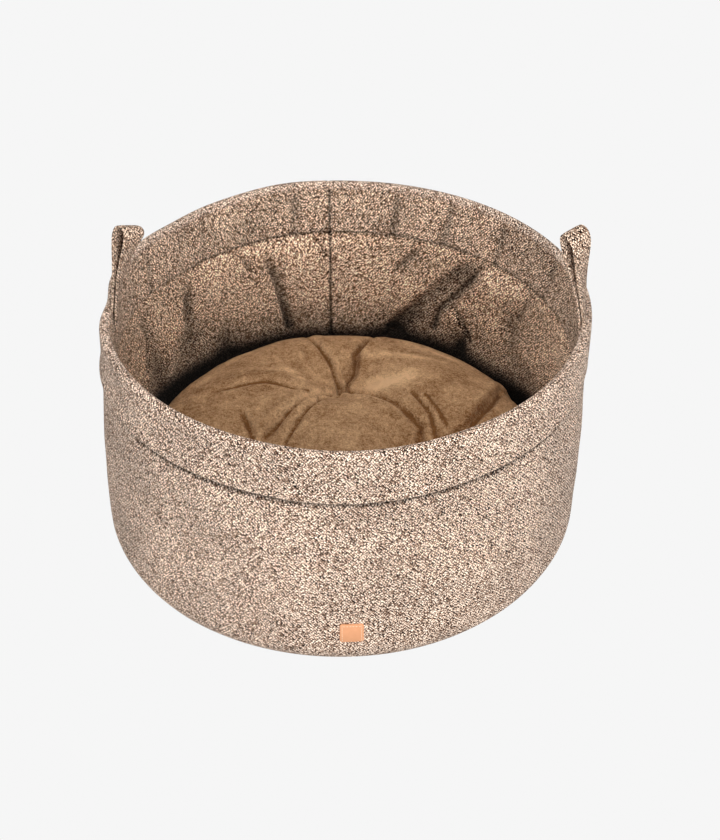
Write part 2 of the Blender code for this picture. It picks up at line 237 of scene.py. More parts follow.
class Finish:
    """A material with one Principled shader, and the nodes that feed it."""

    def __init__(self, name, **fixed):
        self.material = bpy.data.materials.new(name)
        self.material.use_nodes = True
        self.tree = self.material.node_tree
        self.tree.nodes.clear()
        self.shader = self.tree.nodes.new("ShaderNodeBsdfPrincipled")
        out = self.tree.nodes.new("ShaderNodeOutputMaterial")
        self.tree.links.new(self.shader.outputs[0], out.inputs[0])
        for socket, value in fixed.items():
            self.shader.inputs[socket.replace("_", " ")].default_value = value

    def add(self, kind, settings=None, values=None, output=0):
        """Any node: its settings first, then values or links for its sockets."""
        node = self.tree.nodes.new(kind)
        for setting, value in (settings or {}).items():
            if setting == "stops":
                ramp = node.color_ramp
                while len(ramp.elements) < len(value):
                    ramp.elements.new(0.5)
                for element, (place, shade) in zip(ramp.elements, value):
                    element.position = place
                    element.color = (*shade, 1.0)
            else:
                setattr(node, setting, value)
        for socket, value in (values or {}).items():
            if isinstance(value, Shade):
                self.tree.links.new(value.socket, node.inputs[socket])
            else:
                node.inputs[socket].default_value = value
        return Shade(self, node.outputs[output])

    def mixed(self, share, first, second, how="MIX"):
        """A colour between two colours; colours go in as Shades or as red, green and blue."""
        first, second = [c if isinstance(c, Shade) else (*c, 1.0) for c in (first, second)]
        return self.add(
            "ShaderNodeMix", {"data_type": "RGBA", "blend_type": how, "clamp_factor": True},
            {0: share, 6: first, 7: second}, output=2)

    def spread(self, value, low, high, to_low=0.0, to_high=1.0):
        """The value carried from one range to another, smoothly and kept inside it."""
        return self.add("ShaderNodeMapRange", {"interpolation_type": "SMOOTHSTEP"},
                        {0: value, 1: low, 2: high, 3: to_low, 4: to_high})

    def noise(self, place, scale, detail=2.0, roughness=0.5, distortion=0.0):
        return self.add("ShaderNodeTexNoise", {}, {
            "Vector": place, "Scale": scale, "Detail": detail, "Roughness": roughness,
            "Distortion": distortion})

    def feed(self, socket, shade):
        self.tree.links.new(shade.socket, self.shader.inputs[socket])

    def raise_grain(self, height, distance, strength=1.0):
        bump = self.add("ShaderNodeBump", {}, {"Height": height, "Distance": distance,
                                               "Strength": strength})
        self.feed("Normal", bump)


def dimmed(tint, share):
    return tuple(channel * share for channel in tint)


def tweed(name, tint, gap_shade, crown_highlight, contrast):
    """Chunky tweed: short floats of yarn at both diagonals, each with a colour of its own. The gaps
    between the floats carry painted shade and their crowns carry a painted highlight.
    """
    finish = Finish(name, Roughness=0.95, Sheen_Weight=0.03, Sheen_Roughness=0.6,
                    Specular_IOR_Level=0.06)
    weave = finish.add("ShaderNodeUVMap", {"uv_map": "UVMap"})
    wander = finish.add("ShaderNodeTexNoise", {"noise_dimensions": "2D"},
                        {"Vector": weave, "Scale": 260.0, "Detail": 1.0}, output="Color")
    wander = finish.add("ShaderNodeVectorMath", {"operation": "MULTIPLY_ADD"},
                        {0: wander, 1: (0.0012, 0.0012, 0.0), 2: weave})
    floats = []
    for angle, shift in zip(YARN_ANGLES, (0.0, 7.3)):
        turned = finish.add("ShaderNodeMapping", {"vector_type": "TEXTURE"}, {
            "Vector": wander, "Location": (shift, shift, 0.0),
            "Rotation": (0.0, 0.0, math.radians(angle)),
            "Scale": (*YARN_FLOAT, 1.0)})
        cell = finish.add("ShaderNodeTexVoronoi", {
            "voronoi_dimensions": "2D", "feature": "F1", "distance": "EUCLIDEAN"},
            {"Vector": turned, "Scale": 1.0, "Randomness": 0.55})
        chance = finish.add("ShaderNodeSeparateColor", {}, {0: cell.output("Color")})
        floats.append((1.0 - cell, chance, chance.output("Green")))
    (rise_one, chance_one, lift_one), (rise_two, chance_two, lift_two) = floats
    rise_one = rise_one + lift_one * 0.12
    rise_two = rise_two + lift_two * 0.12
    above = rise_two > rise_one
    chance_one = chance_one * 0.72 + 0.28
    chance_two = chance_two * 0.82
    chance = chance_one + above * (chance_two - chance_one)
    rise = finish.add("ShaderNodeMath", {"operation": "MAXIMUM"}, {0: rise_one, 1: rise_two})
    ink = dyes()
    yarn = finish.add("ShaderNodeValToRGB", {"stops": [
        (0.00, ink.deep), (0.06, ink.deep), (0.14, ink.brown), (0.24, ink.brown), (0.36, ink.tan),
        (0.52, ink.tan), (0.66, ink.cream), (1.00, ink.cream)]}, {0: chance})
    # painted shade in the gaps between yarn floats, painted highlight on their crowns
    hollow = finish.spread(rise, 0.58, 0.90, gap_shade, crown_highlight)
    # painted shade from the point mark: darkens folds, grooves and seams
    crease = finish.add("ShaderNodeAttribute", {"attribute_name": "crease"}, output="Fac")
    cloud = finish.spread(finish.noise(weave, 13.0, 2.0), 0.3, 0.7, 0.90, 1.06)
    fuzz = finish.spread(finish.noise(weave, 1600.0, 2.0, 0.7), 0.25, 0.75, 0.82, 1.14)
    # the painted float shade and highlight and the painted fold shade, times the random tone of
    # cloud and fuzz
    depth = hollow * cloud * fuzz * (1.0 - crease)
    shade = finish.add("ShaderNodeCombineColor", {}, {
        0: depth * tint[0], 1: depth * tint[1], 2: depth * tint[2]})
    cloth = finish.mixed(1.0, yarn, shade, "MULTIPLY")
    finish.feed("Base Color", finish.add("ShaderNodeGamma", {}, {0: cloth, 1: contrast}))
    finish.raise_grain(rise + fuzz * 0.2, YARN_GRAIN, 0.9)
    return finish.material


def velour(name, shade_dimming):
    """Short plush pile: brushed patches, folds and a fine nap, with the painted highlights and
    shade of the pile mark.
    """
    finish = Finish(name, Roughness=0.90, Sheen_Weight=0.08, Sheen_Roughness=0.35,
                    Sheen_Tint=(0.95, 0.75, 0.55, 1.0), Specular_IOR_Level=0.12)
    place = finish.add("ShaderNodeTexCoord", output="Object")
    brushed = finish.spread(finish.noise(place, 17.0, 3.0, 0.55, 0.8), 0.34, 0.66)
    clump = finish.spread(finish.noise(place, 64.0, 3.0, 0.6, 0.6), 0.32, 0.68)
    tufted = finish.spread(finish.noise(place, 240.0, 3.0, 0.7), 0.30, 0.70)
    nap = finish.spread(finish.noise(place, 620.0, 2.0, 0.65), 0.30, 0.70)
    # painted highlights and shade from the pile mark, partly standing for brushed pile
    painted_pile_light = finish.add("ShaderNodeAttribute", {"attribute_name": "pile"}, output="Fac")
    light = brushed * 0.22 + clump * 0.24 + tufted * 0.30 + nap * 0.40 + painted_pile_light * 0.85 - 0.17
    ink = dyes()
    # the pale colour takes the painted highlights, the dark one the painted shade
    dark_shade, pale = dimmed(ink.velour, shade_dimming), dimmed(ink.velour_light, shade_dimming)
    finish.feed("Base Color", finish.mixed(light, dark_shade, pale))
    finish.raise_grain(nap * 0.6 + tufted * 1.2, 0.0014, 0.7)
    return finish.material


def leather(name):
    finish = Finish(name, Roughness=0.5, Specular_IOR_Level=0.35)
    place = finish.add("ShaderNodeTexCoord", output="Object")
    grain = finish.add("ShaderNodeTexVoronoi", {"feature": "F1"}, {"Vector": place, "Scale": 900.0})
    cloud = finish.spread(finish.noise(place, 120.0, 3.0), 0.3, 0.7, 0.0, 1.0)
    ink = dyes()
    worn = tuple(min(1.0, channel * 1.10 + 0.02) for channel in ink.leather)
    finish.feed("Base Color", finish.mixed(cloud * 0.6 + grain * 0.2, ink.leather, worn))
    finish.feed("Roughness", finish.spread(grain, 0.0, 0.8, 0.42, 0.60))
    finish.raise_grain(grain, 0.0002, 0.4)
    return finish.material


def twisted(name, tint, scale):
    """Spun thread or cord: fine slanting plies."""
    finish = Finish(name, Roughness=0.7, Sheen_Weight=0.1)
    place = finish.add("ShaderNodeTexCoord", output="Object")
    ply = finish.add("ShaderNodeTexWave", {"bands_direction": "DIAGONAL"},
                     {"Vector": place, "Scale": scale / 3, "Distortion": 1.5})
    finish.feed("Base Color", finish.mixed(ply.output("Fac"), dimmed(tint, 0.72), tint))
    finish.raise_grain(ply.output("Fac"), 0.0002, 0.5)
    return finish.material


def mottled(name, tint, scale, roughness, bump):
    """Foam, fibre or board: small pores or fibres in one tint."""
    finish = Finish(name, Roughness=roughness)
    place = finish.add("ShaderNodeTexCoord", output="Object")
    pores = finish.noise(place, scale, 4.0, 0.65)
    share = finish.spread(pores, 0.35, 0.62)
    finish.feed("Base Color", finish.mixed(share, dimmed(tint, 0.70), tint))
    finish.raise_grain(pores, bump, 0.6)
    return finish.material


def finish_named(name):
    """The finish of that name, made the first time that it is asked for."""
    ink = dyes()
    recipes = {
        # The four tweed finishes are one cloth. Their tints, gap shade, crown highlight and
        # contrast differ as painted light: the inner and band tweed are shaded and given more
        # contrast, as painted shade inside the bed and under the base.
        "outer tweed": (tweed, (1.085, 1.085, 1.105), 0.08, 1.36, 1.25),
        "inner tweed": (tweed, (1.20, 1.24, 1.26), 0.02, 1.50, 1.75),
        "band tweed": (tweed, (0.995, 1.03, 1.06), 0.02, 1.50, 1.70),
        "strap tweed": (tweed, (1.05, 1.03, 1.02), 0.10, 1.26, 1.3),
        "cushion velour": (velour, 1.0),
        # the same velour dimmed to 0.8 for the underside and its seam, as painted shade under the
        # cushion
        "underside velour": (velour, 0.8),
        "tan leather": (leather,),
        "pale thread": (twisted, tuple(ink.thread), 900.0),
        "brown thread": (twisted, (0.16, 0.10, 0.07), 900.0),
        "tuft cord": (twisted, (0.20, 0.12, 0.07), 600.0),
        "wall foam": (mottled, tuple(ink.foam), 500.0, 0.9, 0.0006),
        "base board": (mottled, tuple(ink.board), 260.0, 0.85, 0.0003),
        "filling fibre": (mottled, tuple(ink.fibre), 160.0, 0.95, 0.0015),
    }
    maker, *recipe = recipes[name]
    return bpy.data.materials.get(name) or maker(name, *recipe)


# ---------------------------------------------------------------- cloth helpers

def smooth(value):
    value = np.clip(value, 0.0, 1.0)
    return value * value * (3.0 - 2.0 * value)


def bell(distance, width):
    """1 where the distance is 0, falling smoothly to nearly 0 at twice the width."""
    return np.exp(-(distance / width) ** 2)


def wrap(angle):
    """An angle carried to the range from minus half a turn to half a turn."""
    return (angle + math.pi) % FULL_TURN - math.pi


def near_turn(turn, degrees, width):
    """1 at a place round the bed, in degrees, falling smoothly to 0 beside it."""
    return bell(wrap(turn - math.radians(degrees)), math.radians(width))


def lumps(across, up, seed, around=None):
    """Smooth unevenness from -1 to 1, one lump to each whole step; around closes it into a ring."""
    count = around or LUMP_ROWS
    table = np.random.RandomState(seed).uniform(-1.0, 1.0, (count, LUMP_ROWS))
    column, row = np.floor(across).astype(int), np.floor(up).astype(int)
    along, rise = smooth(across - column), smooth(up - row)

    def between(row):
        row = row % LUMP_ROWS
        return table[column % count, row] * (1 - along) + table[(column + 1) % count, row] * along

    low, high = between(row), between(row + 1)
    return low * (1 - rise) + high * rise


def ring_lumps(turn, count, up, seed):
    """Lumps all round the bed, this many to the turn."""
    return lumps(turn / FULL_TURN * count, up, seed, around=count)


def distance_to_line(across, up, line):
    """Distance to a line of points, and how far along it (0 to 1) the nearest place is."""
    points = np.array(line, float)
    spans = np.linalg.norm(np.diff(points, axis=0), axis=1)
    starts = np.concatenate([[0.0], np.cumsum(spans)])
    best = np.full(np.shape(across), 9.0)
    share = np.zeros(np.shape(across))
    side = np.zeros(np.shape(across))
    for index, span in enumerate(spans):
        start, step = points[index], points[index + 1] - points[index]
        place = ((across - start[0]) * step[0] + (up - start[1]) * step[1]) / span ** 2
        place = np.clip(place, 0.0, 1.0)
        off_x = across - start[0] - place * step[0]
        off_y = up - start[1] - place * step[1]
        away = np.hypot(off_x, off_y)
        nearer = away < best
        best = np.where(nearer, away, best)
        share = np.where(nearer, (starts[index] + place * span) / starts[-1], share)
        side = np.where(nearer, np.sign(step[0] * off_y - step[1] * off_x), side)
    return best, share, side


def wall_radius(height):
    """Outer radius of the wall under the cuff, as the frame has it."""
    size = basket()
    top = size.rim_radius - size.band_step
    rise = np.clip((height - size.belly_height) / (size.cuff_foot - size.belly_height), 0.0, 1.0)
    upper = size.belly_radius + (top - size.belly_radius) * rise ** 1.6
    share = np.clip((size.belly_height - height) / size.belly_height, 0.0, 1.0)
    drop = np.clip((size.corner_radius - height) / size.corner_radius, 0.0, 1.0)
    lower = (size.belly_radius - size.foot_draw * share ** 2
             - size.corner_radius * (1.0 - np.sqrt(1.0 - drop ** 2)))
    return np.where(height >= size.belly_height, upper, lower)


def lining_radius(height):
    """Radius of the lining's inner face, before its puffs and folds."""
    size = basket()
    foam = size.foam_foot + (size.foam_rim - size.foam_foot) * height / size.rim_height
    outside = np.maximum(wall_radius(height), size.belly_radius - 0.004)
    outside = np.where(height > size.corner_radius, wall_radius(height), outside)
    outside = np.where(height > size.band_foot, size.rim_radius - size.band_step, outside)
    return outside - 2 * size.skin - 2 * GAP - foam


def lip_radius():
    size = basket()
    return size.rim_radius - size.skin - size.foam_rim - 2 * GAP


def soft_shape(turn, radius, height):
    """The wandering that all layers of the soft wall share: sway, dips of the rim and the pinch."""
    size = basket()
    rise = np.clip(height / size.rim_height, 0.0, 1.05)
    sway = (np.sin(3 * turn + 0.6) + 0.7 * np.sin(5 * turn + 2.1) + 0.45 * np.sin(8 * turn + 1.0))
    pinch = near_turn(turn, 179.0, 7.0) * smooth((height - 0.19) / 0.07) * 0.0065
    dip = np.sin(2 * turn + 1.2) * 0.0008 + np.sin(5 * turn + 0.4) * 0.0007
    dip = dip + 0.0034 * near_turn(turn, 107.0, 13.0)
    dip = dip - 0.0030 * near_turn(turn, 140.0, 9.0)
    dip = dip * smooth((height - 0.15) / 0.10)
    lean = -0.0028 * np.cos(turn - 0.15) * (1.0 - smooth(height / 0.22))
    shift = 0.0022 * np.cos(turn) * smooth((height - 0.20) / 0.05)
    radius = radius + size.sway * sway * rise ** 1.5 * 0.55 + lean + shift - pinch
    return radius, height + dip


def in_space(turn, radius, height):
    radius, height = soft_shape(turn, radius, height)
    return np.stack([radius * np.cos(turn), radius * np.sin(turn), height], axis=-1)


def deselect():
    bpy.ops.object.select_all(action="DESELECT")


def only(piece):
    deselect()
    piece.hide_set(False)
    piece.select_set(True)
    bpy.context.view_layer.objects.active = piece


def apply_modifiers(piece):
    only(piece)
    for modifier in list(piece.modifiers):
        bpy.ops.object.modifier_apply(modifier=modifier.name)


def settle(piece):
    """Carries the object's place into its mesh."""
    only(piece)
    bpy.ops.object.transform_apply(location=True, rotation=True, scale=True)


def modified(piece, kind, **settings):
    """Puts one modifier on a piece and applies it."""
    modifier = piece.modifiers.new(kind.capitalize(), kind)
    for setting, value in settings.items():
        setattr(modifier, setting, value)
    apply_modifiers(piece)


def thicken(piece, thickness, offset):
    modified(piece, "SOLIDIFY", thickness=thickness, offset=offset, use_even_offset=True)


@contextmanager
def editing(piece):
    """Edit mode with the whole piece selected."""
    only(piece)
    bpy.ops.object.mode_set(mode="EDIT")
    bpy.ops.mesh.select_all(action="SELECT")
    yield
    bpy.ops.object.mode_set(mode="OBJECT")


def added(kind, **sizes):
    """A new primitive with its place carried into its mesh."""
    deselect()
    getattr(bpy.ops.mesh, "primitive_" + kind + "_add")(**sizes)
    piece = bpy.context.object
    settle(piece)
    return piece


def joined(pieces):
    deselect()
    for piece in pieces:
        piece.select_set(True)
    bpy.context.view_layer.objects.active = pieces[0]
    bpy.ops.object.join()
    return pieces[0]


def finished(piece, name, finish, body=None, replaces=()):
    """Names a piece, smooths it, gives it its finish and hands it to the frame."""
    piece.name = name
    piece.data.name = name
    piece.data.materials.clear()
    piece.data.materials.append(finish_named(finish))
    only(piece)
    bpy.ops.object.shade_smooth_by_angle(angle=EDGE_ANGLE)
    if body:
        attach(piece, body)
    if replaces:
        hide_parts(*replaces)


def point_array(piece):
    points = np.zeros(len(piece.data.vertices) * 3)
    piece.data.vertices.foreach_get("co", points)
    return points.reshape(-1, 3)


def set_points(piece, points):
    piece.data.vertices.foreach_set("co", np.asarray(points, float).reshape(-1))
    piece.data.update()


def point_normals(piece):
    normals = np.zeros(len(piece.data.vertices) * 3)
    piece.data.vertices.foreach_get("normal", normals)
    return normals.reshape(-1, 3)


def set_mark(piece, name, values):
    """A value at each point, for the finish to read."""
    marks = piece.data.attributes.new(name, "FLOAT", "POINT")
    marks.data.foreach_set("value", values.astype(np.float32))


def set_cloth_map(piece, cloth):
    """UV map of the flat cloth, in metres, from a flat place for each point."""
    corners = np.zeros(len(piece.data.loops), int)
    piece.data.loops.foreach_get("vertex_index", corners)
    layer = piece.data.uv_layers.active or piece.data.uv_layers.new(name="UVMap")
    layer.name = "UVMap"
    layer.data.foreach_set("uv", cloth[corners].reshape(-1))


def along_line(points):
    """The distance along a line of points to each of them."""
    return np.concatenate([[0.0], np.cumsum(np.linalg.norm(np.diff(points, axis=0), axis=1))])


def merge_doubles(piece, distance=2e-6):
    with editing(piece):
        bpy.ops.mesh.remove_doubles(threshold=distance)


def face_outwards(piece):
    with editing(piece):
        bpy.ops.mesh.normals_make_consistent(inside=False)


def dense(profile, step=0.0004):
    """A profile with points close together, and the distance along it to each."""
    points = np.array(profile, float)
    reach = along_line(points)
    places = np.linspace(0.0, reach[-1], max(2, int(reach[-1] / step)))
    return np.stack([np.interp(places, reach, points[:, axis]) for axis in (0, 1)], axis=1), places


def rolled(profile, rows, shape=None, closed=False, close_rows=None):
    """A flat grid of cloth rolled round the bed: its width follows the profile (radius, height)
    and its ends meet in the back seam. The UV map is the flat cloth in metres. Rows lie closer
    together at the start or the end of the profile where close_rows says so."""
    size = basket()
    deselect()
    bpy.ops.mesh.primitive_grid_add(x_subdivisions=size.columns, y_subdivisions=rows, size=1.0)
    piece = bpy.context.object
    flat = point_array(piece)
    along, up = flat[:, 0] + 0.5, flat[:, 1] + 0.5
    if close_rows == "start":
        up = up ** 1.5
    elif close_rows == "end":
        up = 1.0 - (1.0 - up) ** 1.6
    turn = BACK_SEAM + FULL_TURN * along - 0.5 * np.sin(FULL_TURN * along)
    points, places = dense(profile)
    radius = np.interp(up * places[-1], places, points[:, 0])
    height = np.interp(up * places[-1], places, points[:, 1])
    # the third value from shape is painted shade for the grooves, folds and seams
    crease = np.zeros(len(flat))
    if shape:
        radius, height, crease = shape(turn, radius, height)
    last = np.isclose(along, 1.0)
    placed = in_space(np.where(last, BACK_SEAM, turn), radius, height)
    cloth = np.stack([turn * size.rim_radius, up * places[-1]], axis=1)
    set_points(piece, placed)
    set_mark(piece, "crease", np.clip(crease, 0.0, 0.9))
    set_cloth_map(piece, cloth)
    merge_doubles(piece)
    if closed:
        face_outwards(piece)
    return piece


def seam_groove(turn, place=BACK_SEAM, width=0.0022, radius=0.24):
    """A sewn seam across the cloth: 1 on its line, falling to 0 beside it."""
    return np.exp(-(wrap(turn - place) * radius / width) ** 2)


# ---------------------------------------------------------------- operators

class PETBED_OT_padding(Operator):
    """Foam padding of the wall, between its two skins"""
    bl_idname = "petbed.padding"
    bl_label = "Wall padding"

    def execute(self, context):
        size = basket()
        outside = [(wall_radius(height) - size.skin - FOAM_BEHIND_WALL, height)
                   for height in np.linspace(0.017, size.cuff_foot - 0.001, 24)]
        cuff = size.rim_radius - size.skin - FOAM_BEHIND_CUFF
        outside += [(cuff - 0.0005, size.cuff_foot + 0.004)]
        outside += [(cuff - draw, size.rim_height - drop) for draw, drop in (
            (0.0004, 0.0065), (0.0022, 0.0032), (0.0040, 0.0024))]
        inside = [(lining_radius(height) + size.skin + GAP + 0.0035, height)
                  for height in np.linspace(size.band_foot - 0.001, 0.017, 24)]
        inside.insert(0, (lip_radius() + 0.0022, size.rim_height - 0.0060))
        piece = rolled(outside + inside + outside[:1], 120, closed=True)
        finished(piece, "wall_padding", "wall foam", "basket", ["wall_foam"])
        return {"FINISHED"}


class PETBED_OT_outer_wall(Operator):
    """Outer skin of the wall, from under the base to behind the cuff"""
    bl_idname = "petbed.outer_wall"
    bl_label = "Outer wall"

    def execute(self, context):
        size = basket()
        heights = np.concatenate([np.linspace(0.0012, 0.034, 22),
                                  np.linspace(0.036, size.cuff_foot - GAP, 60)])
        profile = [(wall_radius(height), height) for height in heights]
        profile.insert(0, (float(profile[0][0]) - 0.0030, 0.0010))

        def shape(turn, radius, height):
            quilt = ring_lumps(turn, 13, height / 0.075 + 4, 5)
            fine = ring_lumps(turn, 37, height / 0.028, 9)
            middle = smooth(height / 0.05) * smooth((size.cuff_foot - height) / 0.03)
            upright = ring_lumps(turn, 31, height / 0.12 + 9, 15)
            radius = radius + middle * (0.0016 * quilt + 0.0010 * upright + 0.0004 * fine)
            below = size.cuff_foot - height
            tuck = bell(below, 0.0030)
            swell = bell(below - 0.012, 0.010)
            seam = seam_groove(turn) * smooth(height / 0.02)
            radius = radius - 0.0034 * tuck + 0.0008 * swell - 0.0016 * seam
            # painted shade in the tuck under the cuff and along the back seam
            crease = 0.90 * bell(below, 0.0038) + 0.45 * seam
            return radius, height, crease

        piece = rolled(profile, 90, shape, close_rows="end")
        thicken(piece, size.skin, -1.0)
        finished(piece, "outer_skin", "outer tweed", "basket", ["outer_wall"])
        return {"FINISHED"}


class PETBED_OT_lining(Operator):
    """Lining of the wall, loose enough to puff and fold between its seams"""
    bl_idname = "petbed.lining"
    bl_label = "Lining"

    pockets = ((137.4, 0.158, 0.008, 0.024, 0.0052), (138.5, 0.120, 0.022, 0.020, 0.0036),
               (77.3, 0.080, 0.022, 0.012, 0.0022), (54.1, 0.086, 0.010, 0.014, 0.0044),
               (152.0, 0.115, 0.014, 0.030, 0.0036), (126.0, 0.092, 0.014, 0.022, 0.0028),
               (36.0, 0.140, 0.016, 0.030, 0.0034))
    valleys = (((112.2, 0.184), (109.5, 0.147), (106.4, 0.086), 0.0058, 0.0056),
               ((48.9, 0.212), (61.6, 0.153), (68.8, 0.119), (76.1, 0.084), 0.0120, 0.0052),
               ((48.4, 0.200), (53.4, 0.168), (62.0, 0.122), (63.4, 0.096), 0.0042, 0.0054),
               ((57.2, 0.132), (54.1, 0.113), (51.0, 0.095), 0.0044, 0.0048),
               ((68.8, 0.196), (74.6, 0.166), 0.0046, 0.0040),
               ((121.0, 0.205), (117.4, 0.178), 0.0046, 0.0034),
               ((98.6, 0.206), (95.4, 0.181), 0.0040, 0.0034),
               ((30.0, 0.196), (34.0, 0.160), 0.0060, 0.0030),
               ((158.0, 0.195), (155.0, 0.160), (157.0, 0.120), 0.0080, 0.0034),
               ((206.0, 0.200), (210.0, 0.150), (208.0, 0.100), 0.0080, 0.0038),
               ((250.0, 0.200), (246.0, 0.150), (251.0, 0.105), 0.0080, 0.0038),
               ((300.0, 0.200), (304.0, 0.150), (299.0, 0.100), 0.0080, 0.0038),
               ((338.0, 0.200), (335.0, 0.160), (340.0, 0.110), 0.0080, 0.0038))

    # Gives the puffed and folded lining, with painted shade for its folds, pockets and seam, and
    # for its lower part beside the cushion.
    def shape(self, turn, radius, height):
        size = basket()
        round_radius = 0.232
        degrees = np.degrees(turn % FULL_TURN)
        middle = smooth((height - 0.012) / 0.045) * smooth((size.band_foot - height) / 0.024)
        puff = 0.5 + 0.5 * ring_lumps(turn, 17, height / 0.062 + 2, 3)
        fine = ring_lumps(turn, 41, height / 0.025, 8)
        inward = middle * (0.0085 * puff + 0.0011 * fine)
        # painted shade where the cushion shades the lining: full below about 66 mm of height,
        # fading out by 135 mm; more in the hollows between puffs
        dark_shade = 0.24 * smooth((0.135 - height) / 0.05) + 0.64 * smooth((0.094 - height) / 0.028)
        dark_shade = dark_shade + 0.10 * (1.0 - puff) * middle
        for place, up, wide, high, depth in self.pockets:
            across = wrap(turn - math.radians(place)) * round_radius
            hollow = np.exp(-(across / wide) ** 2 - ((height - up) / high) ** 2)
            inward = inward - 1.35 * depth * hollow
            # painted shade in each pocket
            dark_shade = dark_shade + 92.0 * depth * hollow * middle
        for *line, width, depth in self.valleys:
            flat = [(math.radians(place) * round_radius, up) for place, up in line]
            away, share, side = distance_to_line(np.radians(degrees) * round_radius, height, flat)
            taper = smooth(share / 0.25) * 0.6 + 0.4
            taper = taper * np.where(share >= 0.999, bell(away, width), 1.0)
            steep = np.where(side > 0, width * 0.55, width * 1.5)
            inward = inward - 1.4 * depth * taper * bell(away, steep)
            # painted shade along each fold
            dark_shade = dark_shade + 80.0 * depth * taper * bell(away, steep) * middle
            lift = 0.45 * depth * bell(away - width * 1.3, width) * (side <= 0)
            inward = inward + lift * taper * middle
        tuck = bell(size.band_foot - height, 0.0045)
        inward = inward - 0.0012 * tuck
        bend = 0.0016 * np.sin((height - 0.07) * 28)
        inward = inward - 0.0026 * seam_groove(turn, BACK_SEAM + bend, 0.0019)
        inward = inward + 0.0011 * seam_groove(turn, BACK_SEAM - 0.018 + bend, 0.0035) * middle
        inward = np.clip(inward, -0.0034, 0.0115)
        # painted shade in the back seam and under the inner band
        dark_shade = dark_shade + 0.55 * seam_groove(turn, BACK_SEAM + bend, 0.0016)
        dark_shade = dark_shade + 0.60 * bell(size.band_foot - height, 0.0028)
        return radius - inward, height, dark_shade

    def execute(self, context):
        size = basket()
        heights = np.linspace(floor_top + GAP, size.band_foot + 0.0035, 90)
        profile = [(lining_radius(min(height, size.band_foot)), height) for height in heights]
        piece = rolled(profile, 100, self.shape, close_rows="end")
        thicken(piece, size.skin, 1.0)
        finished(piece, "lining", "inner tweed", "basket", ["lining_wall"])
        return {"FINISHED"}


